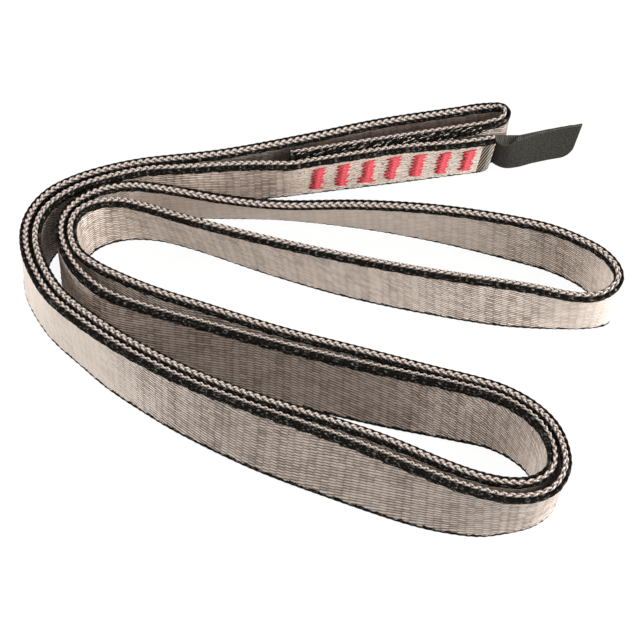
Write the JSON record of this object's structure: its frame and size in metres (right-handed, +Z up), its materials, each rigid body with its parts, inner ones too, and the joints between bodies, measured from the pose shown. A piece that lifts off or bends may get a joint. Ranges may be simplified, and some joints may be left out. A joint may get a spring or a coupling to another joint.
{
  "type": "climbing sling",
  "caption": "Sewn runner of flat woven tape, laid in a loose S fold on its edge, with an overlapped joint closed by red bar tacks and a folded woven label that swings at its seam.",
  "frame": {"origin": "centre of the bounding box at the level the tape's lower edge stands on", "axes": "+X to the right as the picture sees the sling, along its longer laid side, +Y away from the viewer, +Z up across the tape's width"},
  "size_m": [0.1582, 0.1404, 0.0195],
  "materials": {
    "taupe_webbing": "woven tape, satin taupe face with black edge stripes and a braided light selvage",
    "red_thread": "dense satin-stitched thread",
    "charcoal_label": "matte woven ribbon"
  },
  "bodies": {
    "sewn_sling": {"webbing": "taupe_webbing", "bar_tack_1": "red_thread", "bar_tack_2": "red_thread", "bar_tack_3": "red_thread", "bar_tack_4": "red_thread", "bar_tack_5": "red_thread", "bar_tack_6": "red_thread", "bar_tack_7": "red_thread", "label_sewn_end": "charcoal_label"},
    "label": {"label_flap": "charcoal_label"}
  },
  "joints": [
    {"name": "label_swing", "type": "hinge", "parent": "sewn_sling", "child": "label", "pos_m": [0.04741, 0.05858, 0.0093], "axis": [0.0429, -0.2295, 0.9724], "range_deg": [-25, 20]}
  ]
}
